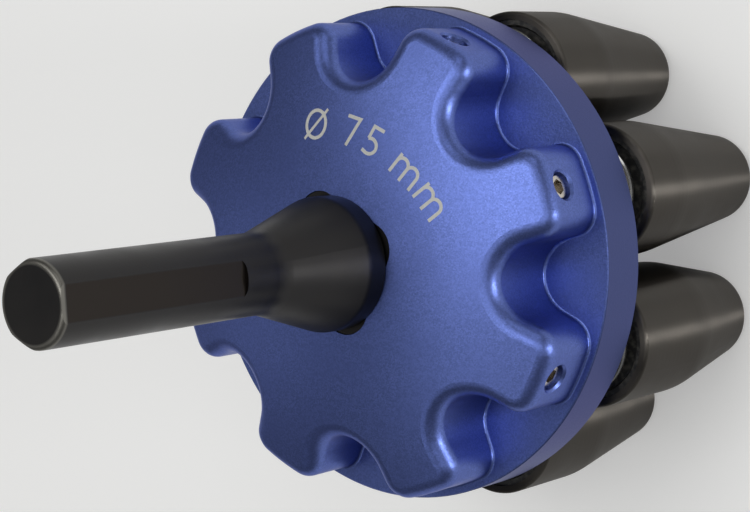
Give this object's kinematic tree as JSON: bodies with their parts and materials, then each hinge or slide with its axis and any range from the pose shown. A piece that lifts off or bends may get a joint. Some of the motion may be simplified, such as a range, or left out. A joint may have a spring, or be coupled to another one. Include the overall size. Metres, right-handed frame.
{
  "type": "pipe belling tool",
  "caption": "Drill-driven pipe belling head: a lobed, flanged hub on a stepped shank carries free-spinning tapered rollers that widen a warm plastic pipe end into a socket.",
  "frame": {"origin": "on the tool's axis, in the plane of the roller tips, which it stands on", "axes": "+Z along the tool's axis from the roller tips towards the tip of the shank; +X through the axis of roller 1"},
  "size_m": [0.0782, 0.0782, 0.1239],
  "materials": {
    "anodised_aluminium": "bead blasted and anodised blue, satin",
    "black_shank_steel": "black oxide, satin",
    "black_roller_steel": "black oxide on a fine turned surface, satin",
    "ground_steel": "ground bright",
    "turned_steel": "turned bright",
    "bearing_steel": "hardened and polished",
    "stainless_steel": "bright stainless",
    "zinc_steel": "zinc plated",
    "spring_steel": "blued",
    "seal_rubber": "moulded black rubber, matt"
  },
  "bodies": {
    "tool_body": {"hub_body": "anodised_aluminium", "drive_shank": "black_shank_steel", "stud_washer": "zinc_steel", "stud_nut": "zinc_steel", "grub_screws": "stainless_steel", "pin_spacers": "turned_steel", "pin_clips": "spring_steel", "bearing_inner_rings": "bearing_steel", "axle_pin_1": "ground_steel", "axle_pin_2": "ground_steel", "axle_pin_3": "ground_steel", "axle_pin_4": "ground_steel", "axle_pin_5": "ground_steel", "axle_pin_6": "ground_steel", "axle_pin_7": "ground_steel", "axle_pin_8": "ground_steel"},
    "roller_set_1": {"roller_1": "black_roller_steel", "seal_1": "seal_rubber", "bearing_outer_rings_1": "bearing_steel", "bearing_balls_1": "bearing_steel"},
    "roller_set_2": {"roller_2": "black_roller_steel", "seal_2": "seal_rubber", "bearing_outer_rings_2": "bearing_steel", "bearing_balls_2": "bearing_steel"},
    "roller_set_3": {"roller_3": "black_roller_steel", "seal_3": "seal_rubber", "bearing_outer_rings_3": "bearing_steel", "bearing_balls_3": "bearing_steel"},
    "roller_set_4": {"roller_4": "black_roller_steel", "seal_4": "seal_rubber", "bearing_outer_rings_4": "bearing_steel", "bearing_balls_4": "bearing_steel"},
    "roller_set_5": {"roller_5": "black_roller_steel", "seal_5": "seal_rubber", "bearing_outer_rings_5": "bearing_steel", "bearing_balls_5": "bearing_steel"},
    "roller_set_6": {"roller_6": "black_roller_steel", "seal_6": "seal_rubber", "bearing_outer_rings_6": "bearing_steel", "bearing_balls_6": "bearing_steel"},
    "roller_set_7": {"roller_7": "black_roller_steel", "seal_7": "seal_rubber", "bearing_outer_rings_7": "bearing_steel", "bearing_balls_7": "bearing_steel"},
    "roller_set_8": {"roller_8": "black_roller_steel", "seal_8": "seal_rubber", "bearing_outer_rings_8": "bearing_steel", "bearing_balls_8": "bearing_steel"}
  },
  "joints": [
    {"name": "roller_spin_1", "type": "hinge", "parent": "tool_body", "child": "roller_set_1", "pos_m": [0.029, 0, 0.03], "axis": [0, 0, 1], "continuous": true},
    {"name": "roller_spin_2", "type": "hinge", "parent": "tool_body", "child": "roller_set_2", "pos_m": [0.02051, 0.02051, 0.03], "axis": [0, 0, 1], "continuous": true},
    {"name": "roller_spin_3", "type": "hinge", "parent": "tool_body", "child": "roller_set_3", "pos_m": [0, 0.029, 0.03], "axis": [0, 0, 1], "continuous": true},
    {"name": "roller_spin_4", "type": "hinge", "parent": "tool_body", "child": "roller_set_4", "pos_m": [-0.02051, 0.02051, 0.03], "axis": [0, 0, 1], "continuous": true},
    {"name": "roller_spin_5", "type": "hinge", "parent": "tool_body", "child": "roller_set_5", "pos_m": [-0.029, 0, 0.03], "axis": [0, 0, 1], "continuous": true},
    {"name": "roller_spin_6", "type": "hinge", "parent": "tool_body", "child": "roller_set_6", "pos_m": [-0.02051, -0.02051, 0.03], "axis": [0, 0, 1], "continuous": true},
    {"name": "roller_spin_7", "type": "hinge", "parent": "tool_body", "child": "roller_set_7", "pos_m": [0, -0.029, 0.03], "axis": [0, 0, 1], "continuous": true},
    {"name": "roller_spin_8", "type": "hinge", "parent": "tool_body", "child": "roller_set_8", "pos_m": [0.02051, -0.02051, 0.03], "axis": [0, 0, 1], "continuous": true}
  ]
}
